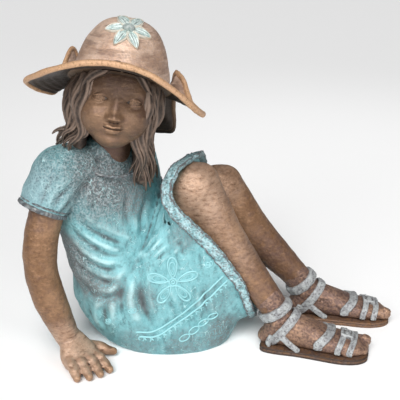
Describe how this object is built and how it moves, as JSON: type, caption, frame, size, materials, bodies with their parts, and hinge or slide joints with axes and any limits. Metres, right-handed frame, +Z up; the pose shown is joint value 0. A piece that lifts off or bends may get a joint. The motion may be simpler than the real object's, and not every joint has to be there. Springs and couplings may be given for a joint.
{
  "type": "seated girl garden statue",
  "caption": "Bronze garden figure of a seated girl in a sun hat, summer dress and sandals, leaning back on one hand with her knees drawn up.",
  "frame": {"origin": "middle of the figure's box in plan, at the height of the ground that she sits on", "axes": "+X from her back towards her toes, -Y towards the viewer that she faces, +Z up"},
  "size_m": [0.6762, 0.3942, 0.6035],
  "materials": {
    "patinated_bronze": "patinated cast bronze, turquoise on the dress and brown on the skin, hat and hair"
  },
  "bodies": {
    "root": {"seated_girl": "patinated_bronze"}
  },
  "joints": []
}
